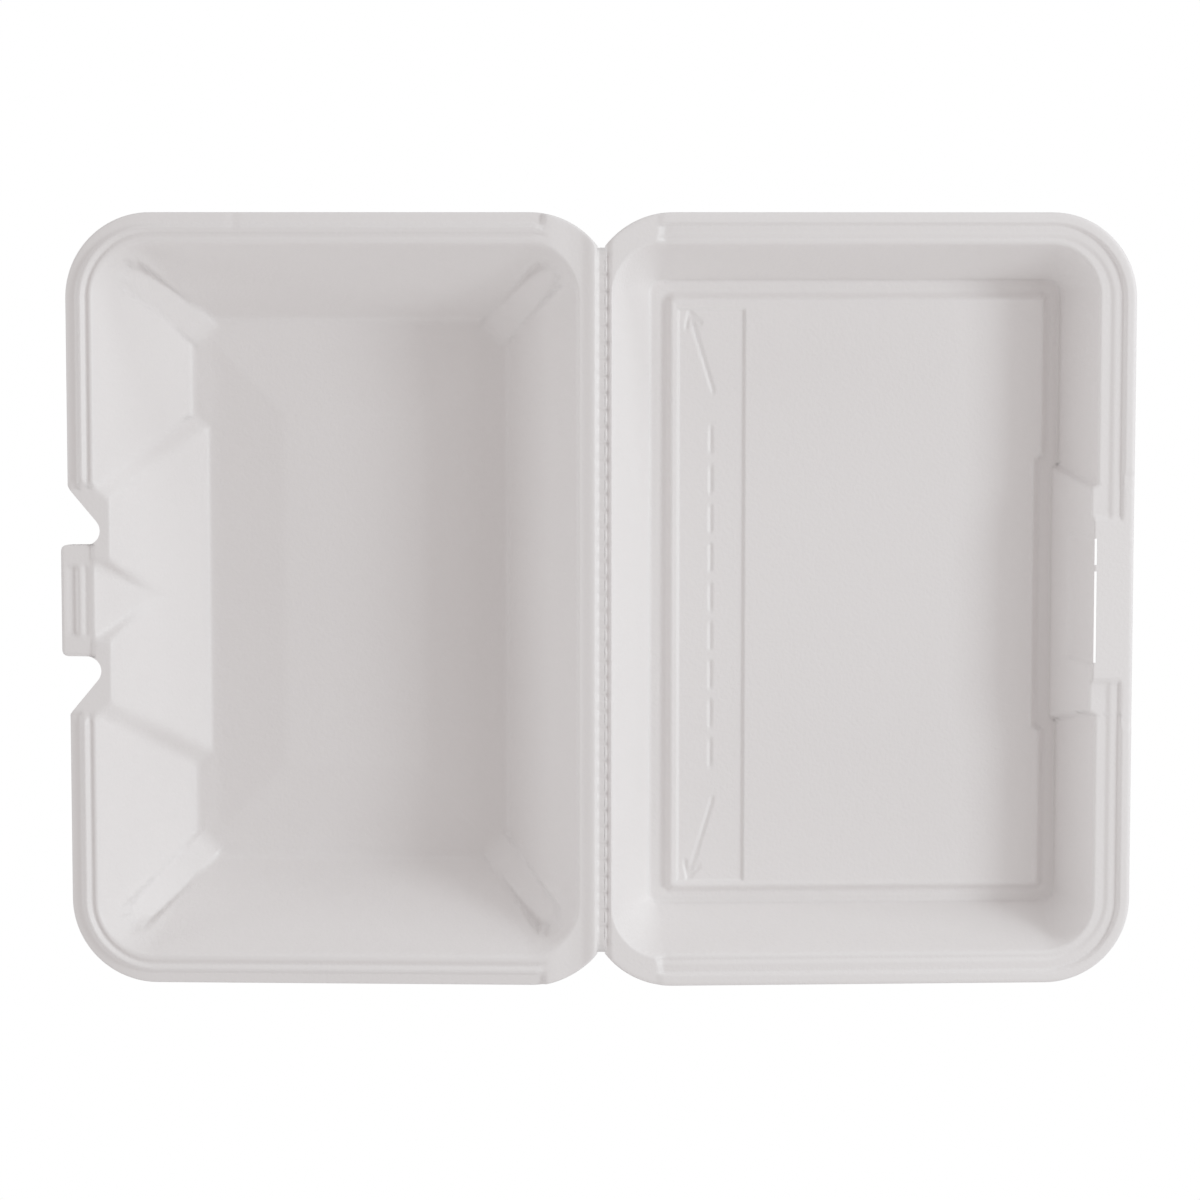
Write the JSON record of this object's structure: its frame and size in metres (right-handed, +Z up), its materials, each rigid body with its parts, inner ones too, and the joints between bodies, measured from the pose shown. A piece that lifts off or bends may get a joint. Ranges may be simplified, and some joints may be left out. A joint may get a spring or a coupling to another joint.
{
  "type": "hinged foam food container",
  "caption": "Open foam clamshell takeaway container: deep tray with fluted corners and a locking tab, hinged along a perforated line to a shallower lid.",
  "frame": {"origin": "on the table, under the middle of the hinge line", "axes": "+X from the hinge across the open lid, the tray lies towards -X, +Y along the hinge line, +Z up"},
  "size_m": [0.3276, 0.2364, 0.044],
  "materials": {
    "foam_tray": "fine-grained white polystyrene foam",
    "foam_lid": "fine-grained white polystyrene foam"
  },
  "bodies": {
    "tray": {"base_tray": "foam_tray"},
    "lid": {"lid": "foam_lid"}
  },
  "joints": [
    {"name": "lid_hinge", "type": "hinge", "parent": "tray", "child": "lid", "pos_m": [0, 0, 0.04325], "axis": [0, -1, 0], "range_deg": [0, 185.06]}
  ]
}
